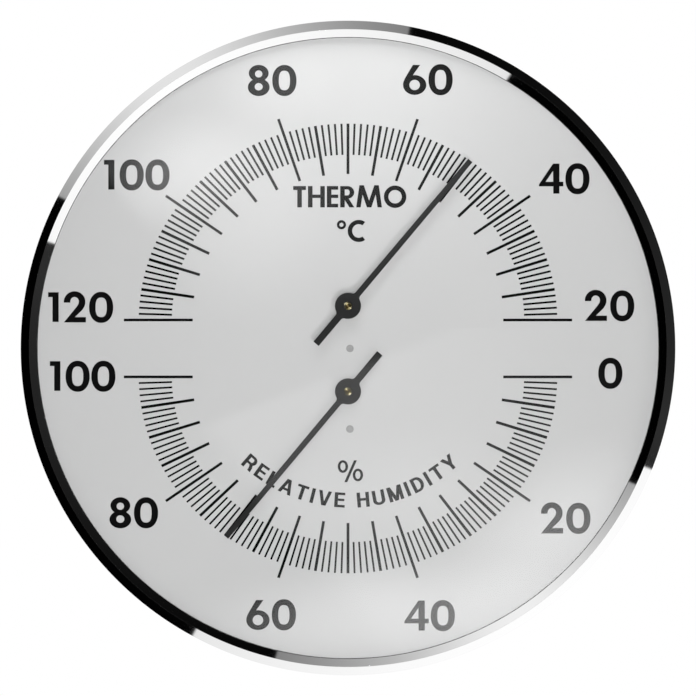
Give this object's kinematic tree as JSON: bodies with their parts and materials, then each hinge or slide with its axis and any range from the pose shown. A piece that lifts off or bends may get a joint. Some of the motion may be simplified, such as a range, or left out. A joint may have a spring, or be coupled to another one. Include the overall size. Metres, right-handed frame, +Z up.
{
  "type": "sauna thermo-hygrometer",
  "caption": "Round wall instrument with a thermometer and a hygrometer on one dial, under flat glass in a polished bezel.",
  "frame": {"origin": "centre of the round part of the hanging keyhole, on the case's rear face", "axes": "+X to the right as seen from the front, +Y towards the wall, +Z up; the dial faces -Y"},
  "size_m": [0.132, 0.0272, 0.132],
  "materials": {
    "bezel_steel": "mirror polished stainless steel",
    "case_steel": "drawn stainless steel, satin",
    "dial_aluminium": "fine satin, anodised light grey, printed in black",
    "spacer_plastic": "matt black",
    "clear_glass": "clear, polished",
    "gasket_rubber": "matt black",
    "frame_steel": "zinc plated sheet",
    "rivet_aluminium": "plain",
    "bush_brass": "turned",
    "arbor_steel": "ground",
    "bimetal_strip": "rolled, slightly tinted",
    "spring_bronze": "rolled spring bronze",
    "pointer_paint": "matt black",
    "hair_fibre": "bundle of pale fibres",
    "thread_fibre": "twisted thread"
  },
  "bodies": {
    "case": {"case_can": "case_steel", "bezel_ring": "bezel_steel", "dial_plate": "dial_aluminium", "spacer_ring": "spacer_plastic", "glass_pane": "clear_glass", "glass_gasket": "gasket_rubber", "thermo_frame": "frame_steel", "thermo_rivet": "rivet_aluminium", "thermo_bush": "bush_brass", "hygro_frame": "frame_steel", "hygro_rivet": "rivet_aluminium", "hygro_bush": "bush_brass", "hairspring": "spring_bronze", "hairspring_stud": "bush_brass", "hair_bundle": "hair_fibre"},
    "thermo_regulator": {"regulator_lever": "frame_steel", "regulator_stud": "bush_brass", "regulator_collar": "frame_steel", "bimetal_spiral": "bimetal_strip"},
    "thermo_hand": {"thermo_arbor": "arbor_steel", "bimetal_collet": "bush_brass", "thermo_pointer": "pointer_paint", "thermo_pointer_hub": "bush_brass"},
    "hygro_hand": {"hygro_arbor": "arbor_steel", "hairspring_collet": "bush_brass", "hygro_pointer": "pointer_paint", "hygro_pointer_hub": "bush_brass"},
    "thread_clamp": {"thread_clamp": "bush_brass", "pull_thread": "thread_fibre"},
    "hair_peg": {"hair_peg": "bush_brass"}
  },
  "joints": [
    {"name": "regulator_turn", "type": "hinge", "parent": "case", "child": "thermo_regulator", "pos_m": [0, -0.0184, -0.0355], "axis": [0, -1, 0], "range_deg": [-12, 12]},
    {"name": "thermo_pointer_turn", "type": "hinge", "parent": "thermo_regulator", "child": "thermo_hand", "pos_m": [0, -0.0184, -0.0355], "axis": [0, -1, 0], "range_deg": [-60, 140], "stiffness_Nm_per_rad": 0.0003, "deforming": ["bimetal_spiral"]},
    {"name": "hygro_pointer_turn", "type": "hinge", "parent": "case", "child": "hygro_hand", "pos_m": [0, -0.0184, -0.05275], "axis": [0, -1, 0], "range_deg": [-60, 140], "stiffness_Nm_per_rad": 0.0003, "deforming": ["hairspring", "hair_bundle", "pull_thread"]},
    {"name": "thread_travel", "type": "slide", "parent": "case", "child": "thread_clamp", "axis": [-1, 0, 0], "range_m": [-0.00047, 0.0011]},
    {"name": "hair_peg_turn", "type": "hinge", "parent": "case", "child": "hair_peg", "pos_m": [-0.05, -0.0184, -0.0523], "axis": [0, -1, 0], "range_deg": [-45, 45]}
  ],
  "couplings": [
    {"joint": "hygro_pointer_turn", "follows": "thread_travel", "rad_per_m": 2222.2}
  ]
}
